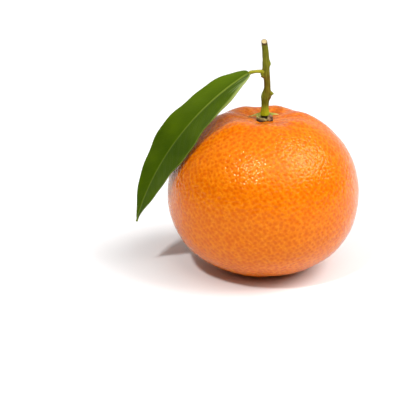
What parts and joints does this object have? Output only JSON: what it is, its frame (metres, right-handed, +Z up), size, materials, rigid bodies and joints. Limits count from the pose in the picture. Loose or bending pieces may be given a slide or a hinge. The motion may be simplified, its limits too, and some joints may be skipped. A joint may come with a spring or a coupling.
{
  "type": "orange",
  "caption": "Whole orange of the small loose-skinned kind, standing on its flat bottom, with its calyx, a short cut twig and a long pointed leaf.",
  "frame": {"origin": "middle of the small flat spot under the fruit, where it stands", "axes": "+Z up along the fruit's axis to the twig; the leaf reaches out toward -X and a little toward -Y, the side that the picture was taken from"},
  "size_m": [0.0776, 0.0655, 0.0808],
  "materials": {
    "rind": "waxy, pitted with oil glands, soft gloss",
    "calyx": "dry, dull, olive and brown",
    "bark": "young green-brown bark, matte to satin",
    "stalk": "smooth yellow-green, satin",
    "leaf": "leathery dark green, waxy on the upper side, paler below"
  },
  "bodies": {
    "root": {"fruit": "rind", "calyx": "calyx", "twig": "bark", "leaf_stalk": "stalk", "leaf_blade": "leaf"}
  },
  "joints": []
}
